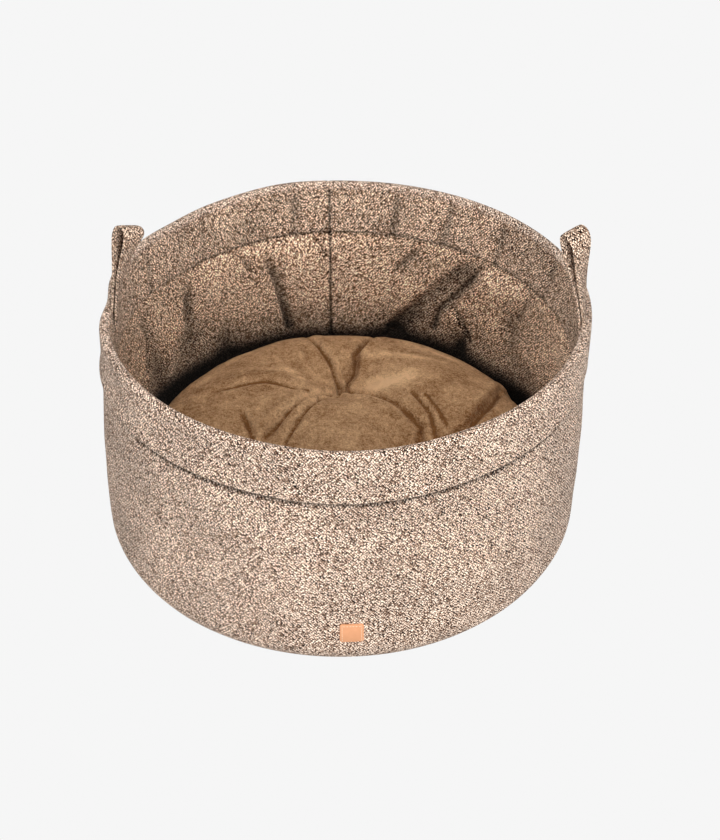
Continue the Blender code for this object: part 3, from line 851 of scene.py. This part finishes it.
class PETBED_OT_cuff(Operator):
    """The cuff: an outer band that folds over the rim, and the inner band under its lip"""
    bl_idname = "petbed.cuff"
    bl_label = "Cuff"

    dents = ((103.5, 1.0), (75.5, 1.3), (60.3, 1.2), (43.3, 1.1), (131.0, 0.7), (152.0, 0.8),
             (22.0, 0.7), (214.0, 0.8), (243.0, 0.8), (289.0, 0.8), (318.0, 0.8))

    def outer(self):
        size = basket()
        edge, top, foot = size.rim_radius, size.rim_height + RIM_PUFF, size.cuff_foot
        lip = lip_radius() - size.skin
        bend = (edge - lip) / 2
        profile = [(edge + proud, foot + rise) for proud, rise in (
            (-0.0034, 0.0012), (-0.0016, 0.0), (0.0004, 0.0008), (0.0018, 0.0028),
            (0.0021, 0.0065), (0.0013, 0.0130), (0.0008, 0.0270))]
        for angle in np.linspace(0.0, math.pi, 26):
            over = math.copysign(abs(math.cos(angle)) ** 0.8, math.cos(angle))
            profile.append((edge - bend + bend * over, top - bend + bend * math.sin(angle) ** 0.8))
        profile += [(lip - 0.0003, top - bend - 0.0010), (lip + 0.0006, top - bend - 0.0022)]

        def shape(turn, radius, height):
            ripple = ring_lumps(turn, 23, height / 0.040, 21)
            fine = ring_lumps(turn, 71, height / 0.016, 23)
            free = smooth((top - 0.004 - height) / 0.02) * (radius > edge - 0.003)
            radius = radius + free * (0.0008 * ripple + 0.0003 * fine)
            wave = 0.0007 * ring_lumps(turn, 19, height * 0 + 3, 25)
            height = height + wave * smooth((foot + 0.02 - height) / 0.02)
            outside = (radius > edge - 0.003)
            radius = radius - 0.0011 * seam_groove(turn) * outside
            # painted shade along the lower edge of the cuff and along the back seam
            crease = 0.70 * bell(height - foot, 0.0019) * (radius < edge + 0.0030)
            crease = crease + 0.4 * seam_groove(turn) * outside
            return radius, height, crease

        piece = rolled(profile, 64, shape, close_rows="start")
        thicken(piece, size.skin * 0.9, -1.0)
        finished(piece, "cuff_outer", "outer tweed", "basket", ["outer_band"])

    def inner(self):
        size = basket()
        top, foot = size.rim_height + RIM_PUFF, size.band_foot
        bend = (size.rim_radius - lip_radius() + size.skin) / 2
        upper = lip_radius() - size.skin + 0.0012
        low = float(lining_radius(foot + GAP)) - size.band_step
        profile = [(low + proud, foot + rise) for proud, rise in (
            (0.0022, 0.0010), (0.0006, 0.0), (-0.0006, 0.0008), (-0.0009, 0.0030),
            (-0.0006, 0.0080))]
        profile += [((low + upper) / 2 - 0.0004, (foot + top) / 2), (upper, top - bend - 0.0010),
                    (upper + 0.0008, top - bend + 0.0012)]

        def shape(turn, radius, height):
            ripple = ring_lumps(turn, 21, height / 0.045, 31)
            inward = 0.0006 * ripple
            for place, strength in self.dents:
                across = wrap(turn - math.radians(place)) * 0.236
                across = across + 0.10 * (height - (foot + top) / 2)
                inward = inward - strength * 0.0024 * bell(across, 0.0048)
                inward = inward + strength * 0.0015 * bell(across - 0.010, 0.0070)
            inward = inward * smooth((top - 0.006 - height) / 0.012)
            inward = inward - 0.0017 * seam_groove(turn, BACK_SEAM, 0.0017)
            wave = 0.0006 * ring_lumps(turn, 19, height * 0 + 3, 35)
            # painted shade along the lower edge of the band, in the back seam and in the dents
            crease = 0.60 * bell(height - foot, 0.0016)
            crease = crease + 0.40 * seam_groove(turn, BACK_SEAM, 0.0015)
            crease = crease + np.clip(-inward * 130.0, 0.0, 0.26)
            return radius - inward, height + wave * smooth((foot + 0.02 - height) / 0.02), crease

        piece = rolled(profile, 46, shape, close_rows="start")
        thicken(piece, size.skin * 0.8, 1.0)
        finished(piece, "cuff_inner", "band tweed", "basket", ["inner_band"])

    def stitches(self):
        """One stitch is modelled, and copies of it go round the rim."""
        size = basket()
        bead = added("uv_sphere", segments=6, ring_count=4, radius=1.0)
        shape = point_array(bead) * np.array([0.00040, 0.0019, 0.00040])
        polygons = [list(face.vertices) for face in bead.data.polygons]
        bpy.data.objects.remove(bead)
        bend = (size.rim_radius - lip_radius() + size.skin) / 2
        radius = np.array(lip_radius() - size.skin + 0.0001)
        height = np.array(size.rim_height + RIM_PUFF - bend - 0.0004)
        points, faces = [], []
        for index in range(RIM_STITCHES):
            turn = FULL_TURN * (index + 0.5) / RIM_STITCHES
            centre = in_space(np.array(turn), radius, height)
            ahead = in_space(np.array(turn + 0.004), radius, height)
            along = (ahead - centre) / np.linalg.norm(ahead - centre)
            out = np.cross(along, (0.0, 0.0, 1.0))
            axes = np.stack([out, along, np.cross(out, along)])
            start = len(points)
            points.extend(shape @ axes + centre)
            faces.extend([[start + corner for corner in face] for face in polygons])
        mesh = bpy.data.meshes.new("rim_stitches")
        mesh.from_pydata([tuple(point) for point in points], [], faces)
        piece = bpy.data.objects.new("rim_stitches", mesh)
        bpy.context.scene.collection.objects.link(piece)
        finished(piece, "rim_stitches", "brown thread", "basket")

    def execute(self, context):
        self.outer()
        self.inner()
        self.stitches()
        return {"FINISHED"}


class PETBED_OT_base(Operator):
    """The base: tweed cover, stiff board, and the lining of the floor"""
    bl_idname = "petbed.base"
    bl_label = "Base"

    def pad(self, node, edge):
        """A round pad with a softly rounded edge, as large as a node of the frame."""
        low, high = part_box(node)
        radius = high.x / math.cos(CAD_FACET)
        rings = 10
        piece = added("circle", vertices=128, radius=radius, fill_type="NGON",
                      location=(0, 0, low.z))
        with editing(piece):
            for _ in range(rings):
                bpy.ops.mesh.inset(thickness=radius / (rings + 1.5), depth=0.0)
            bpy.ops.mesh.select_all(action="SELECT")
            bpy.ops.mesh.extrude_region_move(
                TRANSFORM_OT_translate={"value": (0, 0, high.z - low.z)})
            bpy.ops.mesh.select_all(action="SELECT")
            bpy.ops.mesh.normals_make_consistent(inside=False)
        modified(piece, "BEVEL", width=edge, segments=3, limit_method="ANGLE",
                 angle_limit=EDGE_ANGLE)
        set_cloth_map(piece, point_array(piece)[:, :2])
        return piece

    def execute(self, context):
        cover = self.pad("base_cover", 0.0009)
        finished(cover, "base_skin", "inner tweed", "basket", ["base_cover"])
        board = self.pad("base_board", 0.0010)
        finished(board, "stiff_board", "base board", "basket", ["base_board"])
        floor = self.pad("floor_lining", 0.0005)
        finished(floor, "floor_skin", "inner tweed", "basket", ["floor_lining"])
        return {"FINISHED"}


class PETBED_OT_straps(Operator):
    """The two carrying straps: folded tweed, sewn into the rim seam as narrow standing loops"""
    bl_idname = "petbed.straps"
    bl_label = "Straps"

    loops = {
        "left": {"turn": 181.5, "twist": -44.0, "lean": -0.25, "drift": 0.0020, "roll": -0.44},
        "right": {"turn": 352.0, "twist": -44.0, "lean": -0.17, "drift": -0.0150, "roll": -0.10},
    }

    def path(self):
        """Middle line of the strap, from its root up over the crest and back: (off, height)."""
        size = strap_sizes()
        closed = size.thickness / 2 + GAP
        widest = 0.286  # the largest value of cos(angle) * sin(angle) ** 4
        line = []
        for height in np.linspace(-size.root, -0.001, 9):
            line.append((closed, height))
        for angle in np.linspace(0.0, math.pi, 61)[1:-1]:
            off = math.cos(angle) * (closed + size.bulge / widest * math.sin(angle) ** 4)
            line.append((off, size.rise * math.sin(angle) ** 0.85))
        for height in np.linspace(-0.001, -size.root, 9):
            line.append((-closed, height))
        return np.array(line)

    def strap(self, side, turn, twist, lean, drift, roll):
        size, bed = strap_sizes(), basket()
        line = self.path()
        steps = np.gradient(line, axis=0)
        steps = steps / np.linalg.norm(steps, axis=1)[:, None]
        reach = along_line(line)
        half, thick = size.width / 2, size.thickness / 2
        around = 44
        angle = np.linspace(0.0, FULL_TURN, 721)
        wide = np.sign(np.cos(angle)) * np.abs(np.cos(angle)) ** 0.35
        deep = np.sign(np.sin(angle)) * np.abs(np.sin(angle)) ** 0.55
        outline, girth = dense(np.stack([half * wide, thick * deep], axis=1), 0.0001)
        places = np.linspace(0.0, girth[-1], around + 1)
        rim = np.stack([np.interp(places, girth, outline[:, axis]) for axis in (0, 1)], axis=1)
        rim[:, 1] *= 1.0 - 0.30 * bell(np.abs(rim[:, 0]) / half - 0.78, 0.06)
        deselect()
        bpy.ops.mesh.primitive_grid_add(x_subdivisions=len(line) - 1, y_subdivisions=around,
                                        size=1.0)
        piece = bpy.context.object
        flat = point_array(piece)
        row = np.rint((flat[:, 0] + 0.5) * (len(line) - 1)).astype(int)
        column = np.rint((flat[:, 1] + 0.5) * around).astype(int)
        section = rim[column % around]
        centre, step = line[row], steps[row]
        along = section[:, 0]
        off = centre[:, 0] + section[:, 1] * step[:, 1]
        height = centre[:, 1] - section[:, 1] * step[:, 0]
        share = np.clip(height / size.rise, 0.0, 1.0)
        bend = math.radians(twist) * share ** 1.35
        crooked = 0.0010 * np.sin(share * 9.0 + (0.4 if side == "left" else 2.0))
        x = along * np.cos(bend) - off * np.sin(bend) + crooked
        y = along * np.sin(bend) + off * np.cos(bend)
        y = y + lean * np.clip(height, 0, 1) * (0.75 + 0.25 * share)
        x = x + drift * share + crooked
        height = height + roll * along * share ** 3
        angle = math.radians(turn)
        outward = np.array([math.cos(angle), math.sin(angle), 0.0])
        sideways = np.cross(outward, (0.0, 0.0, 1.0))
        radius, rise = soft_shape(np.array(angle), np.array(lip_radius() - 0.0006),
                                  np.array(bed.rim_height))
        base = outward * float(radius) + np.array([0.0, 0.0, float(rise) - 0.0048])
        placed = base + outward * y[:, None] + sideways * x[:, None]
        placed[:, 2] += height
        set_points(piece, placed)
        set_cloth_map(piece, np.stack([reach[row], places[column]], axis=1))
        merge_doubles(piece)
        with editing(piece):
            bpy.ops.mesh.select_all(action="DESELECT")
            bpy.ops.mesh.select_non_manifold()
            bpy.ops.mesh.fill_holes(sides=0)
        face_outwards(piece)
        finished(piece, side + "_strap", "strap tweed", None,
                 [side + "_handle_tab", side + "_handle_loop"])
        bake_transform(piece)

    def execute(self, context):
        for side, bearing in self.loops.items():
            self.strap(side, **bearing)
        return {"FINISHED"}


class PETBED_OT_tag(Operator):
    """Square leather tag on the front of the wall, with a row of stitches at each side"""
    bl_idname = "petbed.tag"
    bl_label = "Leather tag"

    def on_wall(self, piece):
        """Lays a flat piece made facing front on to the curve of the wall."""
        size = tag_sizes()
        points = point_array(piece)
        place = float(wall_radius(np.array(size.height)))
        turn = -math.pi / 2 + (points[:, 0] + size.offset) / place
        height = points[:, 2] + size.height
        radius = place + 0.0005 - points[:, 1]
        set_points(piece, in_space(turn, radius, height))

    def execute(self, context):
        size = tag_sizes()
        piece = added("cube", size=1.0, scale=(size.side, size.thickness, size.side))
        weight = piece.data.attributes.new("bevel_weight_edge", "FLOAT", "EDGE")
        for edge in piece.data.edges:
            first, second = [piece.data.vertices[index].co for index in edge.vertices]
            weight.data[edge.index].value = 1.0 if abs(first.y - second.y) > 1e-6 else 0.0
        modified(piece, "BEVEL", width=0.0022, segments=5, limit_method="WEIGHT")
        modified(piece, "BEVEL", width=0.0004, segments=2, limit_method="ANGLE",
                 angle_limit=math.radians(60))
        with editing(piece):
            for place in np.linspace(-0.42, 0.42, 11) * size.side:
                bpy.ops.mesh.select_all(action="SELECT")
                bpy.ops.mesh.bisect(plane_co=(place, 0, 0), plane_no=(1, 0, 0))
        self.on_wall(piece)
        finished(piece, "leather_patch", "tan leather", "basket", ["leather_tag"])
        for side, sign in (("left", -1), ("right", 1)):
            self.stitch_row(side, sign)
        return {"FINISHED"}

    def stitch_row(self, side, sign):
        size = tag_sizes()
        edge = size.side / 2 - 0.0022
        rows = [(sign * edge, height, 0.0) for height in np.linspace(-edge, edge, 8)]
        rows += [(place * sign, edge, math.pi / 2)
                 for place in np.linspace(0.0014, edge - 0.0018, 3)]
        piece = joined([
            added("uv_sphere", segments=6, ring_count=5, radius=1.0,
                  scale=(0.00036, 0.00036, 0.00105), rotation=(0.0, lie, 0.0),
                  location=(across, -size.thickness / 2 - 0.0001, up))
            for across, up, lie in rows])
        self.on_wall(piece)
        finished(piece, "tag_stitches_" + side, "pale thread", "basket",
                 ["tag_thread_" + side])


class PETBED_OT_cushion(Operator):
    """The velour cushion: swelled by a cloth simulation, with its tufts held down"""
    bl_idname = "petbed.cushion"
    bl_label = "Cushion"

    def tufts(self):
        circle = pillow().tuft_circle
        return {name: (circle * math.cos(math.radians(turn)), circle * math.sin(math.radians(turn)))
                for name, turn in TUFT_TURNS}

    # The last column of each fold is the painted light on its raised side: a highlight, or painted
    # shade where it is below 0.
    ridges = (
        ((-0.003, 0.088), (-0.012, 0.120), (-0.028, 0.152), (-0.043, 0.186), 0.0055, -0.0042, 0.55),
        ((-0.003, 0.088), (0.010, 0.112), (0.012, 0.140), (0.024, 0.166), (0.036, 0.188),
         0.0060, -0.0055, -0.3),
        ((-0.003, 0.088), (-0.040, 0.045), (-0.066, 0.008), (-0.089, -0.022),
         0.0060, -0.0050, 0.45),
        ((0.002, 0.084), (-0.022, 0.048), (-0.044, 0.012), (-0.070, -0.036), 0.0050, -0.0034, 0.25),
        ((0.000, 0.086), (0.050, 0.040), (0.082, 0.000), (0.078, -0.041), 0.0070, -0.0036, 0.25),
        ((0.088, 0.042), (0.102, 0.016), (0.112, -0.006), 0.0045, 0.0020, 0.45),
        ((0.074, 0.050), (0.092, 0.018), (0.099, -0.021), 0.0045, -0.0022, 0.2),
        ((0.178, 0.088), (0.160, 0.040), (0.134, -0.006), (0.086, -0.036), 0.0065, -0.0048, -0.2),
        ((-0.074, -0.047), (-0.093, -0.019), (-0.110, 0.022), 0.0055, -0.0034, 0.35),
        ((-0.074, -0.047), (-0.120, -0.050), (-0.175, -0.075), 0.0070, -0.0042, 0.2),
        ((-0.074, -0.047), (-0.085, -0.100), (-0.110, -0.165), 0.0070, -0.0042, 0.2),
        ((-0.074, -0.047), (0.000, -0.058), (0.078, -0.041), 0.0080, -0.0040, 0.2),
        ((0.078, -0.041), (0.090, -0.100), (0.125, -0.155), 0.0070, -0.0042, 0.2),
        ((0.078, -0.041), (0.130, -0.062), (0.185, -0.070), 0.0070, -0.0040, 0.2),
        ((-0.040, 0.060), (-0.085, 0.070), (-0.140, 0.060), 0.0090, -0.0018, 0.1),
    )
    # Patches of brushed pile: the last column is their painted highlight, or painted shade where it
    # is below 0.
    brushed = ((0.046, 0.078, 0.034, 0.017, 0.15, 0.80), (0.072, 0.125, 0.045, 0.006, -0.25, 0.55),
               (0.110, 0.140, 0.040, 0.006, -0.55, 0.50), (-0.065, 0.098, 0.026, 0.006, 0.05, 0.46),
               (-0.045, 0.088, 0.022, 0.004, 0.10, 0.34), (-0.150, 0.100, 0.016, 0.010, 0.60, 0.36),
               (-0.105, 0.145, 0.040, 0.010, 0.45, 0.26), (0.150, 0.085, 0.012, 0.012, 0.30, 0.26),
               (0.005, 0.150, 0.014, 0.030, 0.10, -0.12), (0.000, 0.030, 0.050, 0.022, 0.00, 0.12),
               (-0.120, 0.020, 0.030, 0.020, 0.40, 0.16), (0.060, -0.100, 0.040, 0.020, 0.30, 0.30),
               (-0.030, -0.130, 0.050, 0.018, -0.20, 0.26),
               (0.140, -0.100, 0.030, 0.016, 0.80, 0.24))
    notches = ((-0.045, 0.203, 0.013, 0.0050), (0.037, 0.206, 0.012, 0.0055),
               (0.194, 0.092, 0.014, 0.0075), (-0.196, -0.086, 0.014, 0.0050),
               (0.016, -0.214, 0.014, 0.0050), (0.150, -0.150, 0.014, 0.0040))

    def crown(self, x, y, share, crest):
        """Height of the top at a share of the radius, with its tufts pulled in."""
        size = pillow()
        fall = np.sqrt(np.clip(1.0 - share ** size.fullness, 0.0, 1.0))
        height = size.seam_height + (crest - size.seam_height) * fall
        for place in self.tufts().values():
            away = np.hypot(x - place[0], y - place[1])
            height = height - size.tuft_depth * fall * bell(away, size.tuft_spread)
        return height

    def body(self, inset):
        """The closed cushion at rest, a little smaller than it ends up."""
        size = pillow()
        piece = added("uv_sphere", segments=112, ring_count=72, radius=1.0)
        ball = point_array(piece)
        share = np.clip(np.hypot(ball[:, 0], ball[:, 1]), 0.0, 1.0)
        turn = np.arctan2(ball[:, 1], ball[:, 0])
        upper = ball[:, 2] >= 0
        radius = (size.radius - inset) * share
        x, y = radius * np.cos(turn), radius * np.sin(turn)
        height = self.crown(x, y, share, size.crest - inset)
        fall_low = np.sqrt(np.clip(1.0 - share ** (2 * size.fullness), 0.0, 1.0))
        foot = floor_top + 0.001 + inset * 0.3
        low = size.seam_height - (size.seam_height - foot) * fall_low
        set_points(piece, np.stack([x, y, np.where(upper, height, low)], axis=1))
        return piece

    def swell(self, piece):
        size = pillow()
        modified(piece, "REMESH", mode="VOXEL", voxel_size=size.voxel)
        before = point_array(piece)
        held = piece.vertex_groups.new(name="held")
        hold = smooth((0.034 - before[:, 2]) / 0.018)
        for place in self.tufts().values():
            away = np.hypot(before[:, 0] - place[0], before[:, 1] - place[1])
            hold = np.maximum(hold, np.exp(-(away / 0.0065) ** 4) * (before[:, 2] > 0.05))
        rim = np.hypot(before[:, 0], before[:, 1])
        near_seam = bell(before[:, 2] - size.seam_height, 0.006) * (rim > size.radius - 0.02)
        hold = np.maximum(hold, 0.85 * near_seam)
        for index in np.nonzero(hold > 0.02)[0]:
            held.add([int(index)], float(hold[index]), "REPLACE")
        cloth = piece.modifiers.new("Filling", "CLOTH")
        rules = cloth.settings
        rules.quality = 6
        rules.mass = 0.25
        rules.tension_stiffness = 14
        rules.compression_stiffness = 14
        rules.shear_stiffness = 6
        rules.bending_stiffness = 0.4
        rules.use_pressure = True
        rules.uniform_pressure_force = size.pressure
        rules.effector_weights.gravity = 0.0
        rules.vertex_group_mass = "held"
        cloth.collision_settings.use_collision = False
        cloth.point_cache.frame_start = 1
        cloth.point_cache.frame_end = SWELL_FRAMES
        for step in range(1, SWELL_FRAMES + 1):
            bpy.context.scene.frame_set(step)
        apply_modifiers(piece)
        bpy.context.scene.frame_set(1)
        after = point_array(piece)
        move = after - before
        far = np.linalg.norm(move, axis=1)
        capped = before + move * np.minimum(1.0, size.cap / np.maximum(far, 1e-9))[:, None]
        ring = np.hypot(capped[:, 0], capped[:, 1])
        keep = np.minimum(1.0, (size.radius + 0.003) / np.maximum(ring, 1e-9))
        capped[:, :2] *= keep[:, None]
        capped[:, 2] = np.clip(capped[:, 2], floor_top + 0.0006, size.crest + 0.006)
        set_points(piece, capped)

    def full_height(self, piece):
        """Brings the ring by ring height of the top, and the girth, to what the frame gives."""
        size = pillow()
        points = point_array(piece)
        ring = np.hypot(points[:, 0], points[:, 1])
        points[:, :2] *= (size.radius + 0.002) / np.percentile(ring, 99.8)
        ring = np.hypot(points[:, 0], points[:, 1])
        share = np.clip(ring / size.radius, 0.0, 1.0)
        goal = self.crown(points[:, 0], points[:, 1], share, size.crest + 0.004)
        top = points[:, 2] > size.seam_height + 0.004
        edges = np.linspace(0.0, 1.0, 13)
        middles, missing = [], []
        for low, high in zip(edges, edges[1:]):
            band = top & (share >= low) & (share < high)
            if band.sum() > 8:
                middles.append((low + high) / 2)
                missing.append(float(np.mean(goal[band] - points[band, 2])))
        lift = np.interp(share, middles, missing)
        points[:, 2] += lift * smooth((points[:, 2] - size.seam_height) / 0.020)
        set_points(piece, points)

    def creased(self, piece):
        """Presses folds into the top. It also marks where the finish paints highlight on the fold
        ridges, shade along the fold lines and in rays round the tufts, and patches of brushed pile
        with painted highlight.
        """
        size = pillow()
        points = point_array(piece)
        x, y, z = points.T
        top = smooth((z - size.seam_height) / 0.022)
        press = np.zeros(len(points))
        pile = np.zeros(len(points))
        for *line, width, depth, painted_light in self.ridges:
            away, share, side = distance_to_line(x, y, line)
            ends = smooth((1.02 - share) / 0.25) * 0.7 + 0.3
            steep = np.where(side > 0, width * 0.50, width * 1.30)
            cut = bell(away, steep) * ends
            raised = ends * (side <= 0)
            swell = bell(away - width * 1.5, width * 1.1) * raised
            press = press + 1.7 * depth * cut - 0.9 * depth * swell
            # painted highlight beside each ridge, painted shade along the fold line
            pile = pile + painted_light * bell(away - width * 0.95, width * 0.40) * raised
            pile = pile - 0.72 * bell(away, 0.0024) * ends
        for place in self.tufts().values():
            away = np.hypot(x - place[0], y - place[1])
            angle = np.arctan2(y - place[1], x - place[0])
            rays = 0.5 + 0.5 * np.cos(7 * angle + 14 * place[0] * 10 + 1.0)
            press = press - 0.0062 * bell(away, 0.0090)
            press = press - 0.0016 * rays * bell(away - 0.018, 0.016)
            # painted light and shade in rays round each tuft
            pile = pile + 0.18 * (rays - 0.5) * bell(away - 0.020, 0.018)
        for across, along, wide, high, slant, painted_light in self.brushed:
            u = (x - across) * math.cos(slant) + (y - along) * math.sin(slant)
            v = (y - along) * math.cos(slant) - (x - across) * math.sin(slant)
            ragged = 1.0 + 0.5 * lumps(x / 0.009 + 30, y / 0.009 + 30, 47)
            # painted highlight in each brushed patch
            pile = pile + painted_light * ragged * np.exp(-(u / wide) ** 2 - (v / high) ** 2)
        press = np.maximum(press, -0.0125)
        press = press + 0.0013 * lumps(x / 0.035 + 20, y / 0.035 + 20, 41)
        press = press + 0.0005 * lumps(x / 0.012 + 20, y / 0.012 + 20, 43)
        pull = np.zeros(len(points))
        for across, along, wide, depth in self.notches:
            away = np.hypot(x - across, y - along)
            pull = pull + depth * bell(away, wide)
        ring = np.maximum(np.hypot(x, y), 1e-6)
        points = points + point_normals(piece) * (press * top)[:, None]
        points[:, 0] -= x / ring * pull * smooth((ring - 0.1) / 0.06)
        points[:, 1] -= y / ring * pull * smooth((ring - 0.1) / 0.06)
        set_points(piece, points)
        set_mark(piece, "pile", pile * top)

    def half(self, whole, name, node, upper):
        """The part of the cushion above or below its seam, as cloth of its own."""
        piece = whole.copy()
        piece.data = whole.data.copy()
        bpy.context.scene.collection.objects.link(piece)
        with editing(piece):
            bpy.ops.mesh.bisect(plane_co=(0, 0, pillow().seam_height), plane_no=(0, 0, 1),
                                clear_inner=upper, clear_outer=not upper)
        thicken(piece, COVER_CLOTH, -1.0)
        # the lower half takes the dimmed velour, as painted shade
        finish = "cushion velour" if upper else "underside velour"
        finished(piece, name, finish, "cushion", [node])
        return piece

    def execute(self, context):
        whole = self.body(0.003)
        self.swell(whole)
        self.full_height(whole)
        modified(whole, "SUBSURF", levels=1, render_levels=1)
        self.creased(whole)
        top = self.half(whole, "cushion_top", "cushion_top_panel", True)
        self.half(whole, "cushion_underside", "cushion_bottom_panel", False)
        self.filling(whole)
        self.edge_seam()
        for name, place in self.tufts().items():
            self.knot(name, place, top)
        return {"FINISHED"}

    def requick(self, piece):
        modified(piece, "REMESH", mode="VOXEL", voxel_size=pillow().voxel)
        set_points(piece, point_array(piece) + point_normals(piece) * 0.004)

    def filling(self, whole):
        modified(whole, "SMOOTH", factor=0.5, iterations=6)
        points = point_array(whole)
        share = (points[:, 2] - floor_top) / (pillow().crest - floor_top)
        points = points * np.array([0.955, 0.955, 1.0])
        points[:, 2] = floor_top + 0.005 + share * (pillow().crest - floor_top) * 0.80
        for place in self.tufts().values():
            away = np.hypot(points[:, 0] - place[0], points[:, 1] - place[1])
            upper = smooth((points[:, 2] - 0.050) / 0.020)
            points[:, 2] -= 0.022 * upper * bell(away, 0.018)
        set_points(whole, points)
        modified(whole, "REMESH", mode="VOXEL", voxel_size=0.007)
        finished(whole, "cushion_fibre", "filling fibre", "cushion", ["cushion_filling"])

    def edge_seam(self):
        """The sewn ridge where the two halves of the cover meet."""
        size = pillow()
        piece = added("torus", major_radius=size.radius - 0.0035, minor_radius=0.0013,
                      major_segments=180, minor_segments=8, location=(0, 0, size.seam_height))
        finished(piece, "cushion_seam", "underside velour", "cushion")

    def knot(self, name, place, top):
        """A waxed tie pulled through the cushion, with a small knot sunk in the tuft."""
        size = pillow()
        points = point_array(top)
        away = np.hypot(points[:, 0] - place[0], points[:, 1] - place[1])
        near = (away < 0.006) & (points[:, 2] > 0.06)
        crown = float(points[near][:, 2].min()) - 0.0030 if near.any() else size.crest - 0.03
        foot = floor_top + 0.0016
        rod = joined([
            added("cylinder", vertices=12, radius=0.0011, depth=crown - foot,
                  location=(place[0], place[1], (crown + foot) / 2)),
            added("torus", major_radius=0.0016, minor_radius=0.0009, major_segments=16,
                  minor_segments=8, location=(place[0], place[1], crown),
                  rotation=(0.35, 0.25, 0.4))])
        finished(rod, "tuft_knot_" + name, "tuft cord", "cushion", ["tuft_tie_" + name])


class PETBED_OT_stage(Operator):
    """Pale floor and surround, soft lights and the camera"""
    bl_idname = "petbed.stage"
    bl_label = "Stage"

    def area(self, name, place, size, strength):
        light = bpy.data.lights.new(name, "AREA")
        light.shape = "DISK"
        light.size = size
        light.energy = strength
        lamp = bpy.data.objects.new(name, light)
        bpy.context.scene.collection.objects.link(lamp)
        lamp.location = place
        lamp.visible_camera = False
        aim = LAMP_AIM - Vector(place)
        lamp.rotation_euler = aim.to_track_quat("-Z", "Y").to_euler()

    def execute(self, context):
        studio = bpy.context.scene.pet_bed_light
        floor = added("plane", size=16.0, location=(0, 0, -0.0004))
        floor.name = "floor"
        surround = added("uv_sphere", segments=48, ring_count=24, radius=12.0)
        surround.name = "surround"
        pale = Finish("pale surround", Roughness=1.0, Specular_IOR_Level=0.0,
                      Base_Color=(0.0, 0.0, 0.0, 1.0), Emission_Color=(1.0, 1.0, 1.0, 1.0),
                      Emission_Strength=studio.surround)
        for backdrop in (floor, surround):
            backdrop.data.materials.append(pale.material)
            backdrop.visible_diffuse = False
            backdrop.visible_shadow = False
        world = bpy.data.worlds.new("soft light")
        world.use_nodes = True
        shade = world.node_tree.nodes["Background"]
        shade.inputs["Color"].default_value = (1.0, 1.0, 1.0, 1.0)
        shade.inputs["Strength"].default_value = studio.ambient
        bpy.context.scene.world = world
        for name, strength, place, size in LAMPS:
            self.area(name, place, size, getattr(studio, strength))
        lens = bpy.data.cameras.new("camera")
        lens.lens = CAMERA_LENS
        lens.sensor_width = CAMERA_SENSOR
        camera = bpy.data.objects.new("camera", lens)
        bpy.context.scene.collection.objects.link(camera)
        camera.location = CAMERA_PLACE
        camera.rotation_euler = CAMERA_TURN
        bpy.context.scene.camera = camera
        bpy.context.scene.view_settings.view_transform = "Standard"
        return {"FINISHED"}


class PETBED_PT_sidebar(Panel):
    """The pieces of the pet bed, one button each"""
    bl_idname = "PETBED_PT_sidebar"
    bl_label = "Pet bed"
    bl_space_type = "VIEW_3D"
    bl_region_type = "UI"
    bl_category = "Pet bed"

    def draw(self, context):
        for operator in OPERATORS:
            self.layout.operator(operator.bl_idname)
        for group in SETTINGS:
            box = self.layout.box()
            settings = getattr(context.scene, group)
            for name in settings.__annotations__:
                box.prop(settings, name)


OPERATORS = (PETBED_OT_padding, PETBED_OT_outer_wall, PETBED_OT_lining, PETBED_OT_cuff,
             PETBED_OT_base, PETBED_OT_straps, PETBED_OT_tag, PETBED_OT_cushion, PETBED_OT_stage)
SETTINGS = {"pet_bed_basket": BasketSizes, "pet_bed_cushion": CushionSizes,
            "pet_bed_strap": StrapSizes, "pet_bed_tag": TagSizes,
            "pet_bed_colours": ClothColours, "pet_bed_light": StudioLight}


def register():
    for group in SETTINGS.values():
        bpy.utils.register_class(group)
    for operator in OPERATORS:
        bpy.utils.register_class(operator)
    bpy.utils.register_class(PETBED_PT_sidebar)
    for name, group in SETTINGS.items():
        setattr(bpy.types.Scene, name, PointerProperty(type=group))


def unregister():
    for name in SETTINGS:
        delattr(bpy.types.Scene, name)
    bpy.utils.unregister_class(PETBED_PT_sidebar)
    for kind in (*reversed(OPERATORS), *reversed(list(SETTINGS.values()))):
        bpy.utils.unregister_class(kind)


def main():
    register()
    bpy.ops.petbed.padding()
    bpy.ops.petbed.outer_wall()
    bpy.ops.petbed.lining()
    bpy.ops.petbed.cuff()
    bpy.ops.petbed.base()
    bpy.ops.petbed.straps()
    bpy.ops.petbed.tag()
    bpy.ops.petbed.cushion()
    bpy.ops.petbed.stage()


if __name__ == "__main__":
    main()
